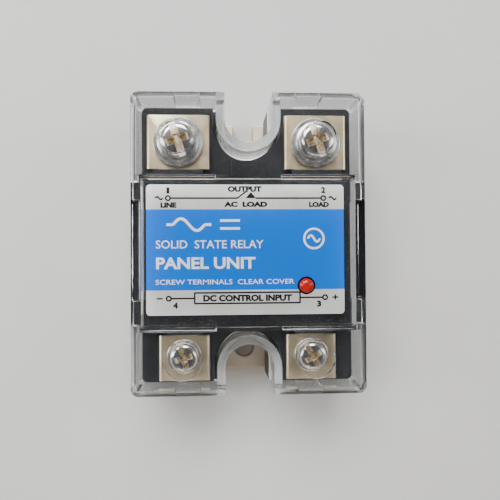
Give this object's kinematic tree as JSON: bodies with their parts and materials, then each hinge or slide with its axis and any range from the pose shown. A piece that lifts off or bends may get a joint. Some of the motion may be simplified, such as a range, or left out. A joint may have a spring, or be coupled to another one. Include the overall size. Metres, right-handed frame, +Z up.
{
  "type": "solid state relay",
  "caption": "Panel-mount solid state relay: metal base, black case with screw terminals, label, lamp and clear clip-fit cover.",
  "frame": {"origin": "middle of the base plate's underside", "axes": "+Z up from the mounting panel through the label, +Y towards the output terminals 1 and 2, +X to the right when the label is read"},
  "size_m": [0.0456, 0.0588, 0.0283],
  "materials": {
    "base_metal": "nickel-plated plate, brushed",
    "case_plastic": "fine spark-eroded texture",
    "clear_plastic": "clear polycarbonate, glossy",
    "label_film": "printed silver film with a blue band",
    "lamp_plastic": "red tinted epoxy",
    "nickel_plate": "nickel-plated brass sheet",
    "zinc_steel": "nickel-plated steel fasteners",
    "copper": "bare copper",
    "ceramic": "fired alumina",
    "silicon": "passivated silicon",
    "board_laminate": "green solder mask",
    "component_epoxy": "moulded epoxy",
    "resistor_coat": "lacquered",
    "capacitor_coat": "dipped epoxy",
    "silicone_gel": "soft silicone gel",
    "sealing_epoxy": "cured epoxy bead"
  },
  "bodies": {
    "relay": {"base_plate": "base_metal", "body_case": "case_plastic", "rating_label": "label_film", "indicator_led": "lamp_plastic", "output_terminal_1": "nickel_plate", "output_terminal_2": "nickel_plate", "input_terminal_3": "nickel_plate", "input_terminal_4": "nickel_plate", "captive_nut_1": "zinc_steel", "captive_nut_2": "zinc_steel", "captive_nut_3": "zinc_steel", "captive_nut_4": "zinc_steel", "ceramic_substrate": "ceramic", "copper_pad_1": "copper", "copper_pad_2": "copper", "thyristor_die_1": "silicon", "thyristor_die_2": "silicon", "die_clip_1": "copper", "die_clip_2": "copper", "output_strap_1": "copper", "output_strap_2": "copper", "gate_lead_1": "copper", "gate_lead_2": "copper", "silicone_gel": "silicone_gel", "circuit_board": "board_laminate", "optocoupler": "component_epoxy", "input_transistor": "component_epoxy", "input_diode": "component_epoxy", "snubber_capacitor": "capacitor_coat", "snubber_resistor": "resistor_coat", "input_resistor": "resistor_coat", "gate_resistor_1": "resistor_coat", "gate_resistor_2": "resistor_coat", "sealing_bead": "sealing_epoxy"},
    "cover": {"clear_cover": "clear_plastic"},
    "clamp_1": {"flat_washer_1": "zinc_steel", "spring_washer_1": "zinc_steel"},
    "clamp_2": {"flat_washer_2": "zinc_steel", "spring_washer_2": "zinc_steel"},
    "clamp_3": {"flat_washer_3": "zinc_steel", "spring_washer_3": "zinc_steel"},
    "clamp_4": {"flat_washer_4": "zinc_steel", "spring_washer_4": "zinc_steel"},
    "screw_1": {"output_screw_1": "zinc_steel"},
    "screw_2": {"output_screw_2": "zinc_steel"},
    "screw_3": {"input_screw_3": "zinc_steel"},
    "screw_4": {"input_screw_4": "zinc_steel"}
  },
  "joints": [
    {"name": "cover_lift", "type": "slide", "parent": "relay", "child": "cover", "axis": [0, 0, 1], "range_m": [0, 0.024]},
    {"name": "clamp_1_rise", "type": "slide", "parent": "relay", "child": "clamp_1", "axis": [0, 0, 1], "range_m": [0, 0.001]},
    {"name": "clamp_2_rise", "type": "slide", "parent": "relay", "child": "clamp_2", "axis": [0, 0, 1], "range_m": [0, 0.001]},
    {"name": "clamp_3_rise", "type": "slide", "parent": "relay", "child": "clamp_3", "axis": [0, 0, 1], "range_m": [0, 0.002]},
    {"name": "clamp_4_rise", "type": "slide", "parent": "relay", "child": "clamp_4", "axis": [0, 0, 1], "range_m": [0, 0.002]},
    {"name": "screw_1_turn", "type": "hinge", "parent": "clamp_1", "child": "screw_1", "pos_m": [-0.0141, 0.0208, 0.0236], "axis": [0, 0, 1], "range_deg": [0, 515]},
    {"name": "screw_2_turn", "type": "hinge", "parent": "clamp_2", "child": "screw_2", "pos_m": [0.0141, 0.0208, 0.0236], "axis": [0, 0, 1], "range_deg": [0, 515]},
    {"name": "screw_3_turn", "type": "hinge", "parent": "clamp_3", "child": "screw_3", "pos_m": [0.013, -0.0228, 0.0231], "axis": [0, 0, 1], "range_deg": [0, 1441]},
    {"name": "screw_4_turn", "type": "hinge", "parent": "clamp_4", "child": "screw_4", "pos_m": [-0.013, -0.0228, 0.0231], "axis": [0, 0, 1], "range_deg": [0, 1441]}
  ],
  "couplings": [
    {"joint": "screw_1_turn", "follows": "clamp_1_rise", "rad_per_m": 8976},
    {"joint": "screw_2_turn", "follows": "clamp_2_rise", "rad_per_m": 8976},
    {"joint": "screw_3_turn", "follows": "clamp_3_rise", "rad_per_m": 12566},
    {"joint": "screw_4_turn", "follows": "clamp_4_rise", "rad_per_m": 12566}
  ]
}
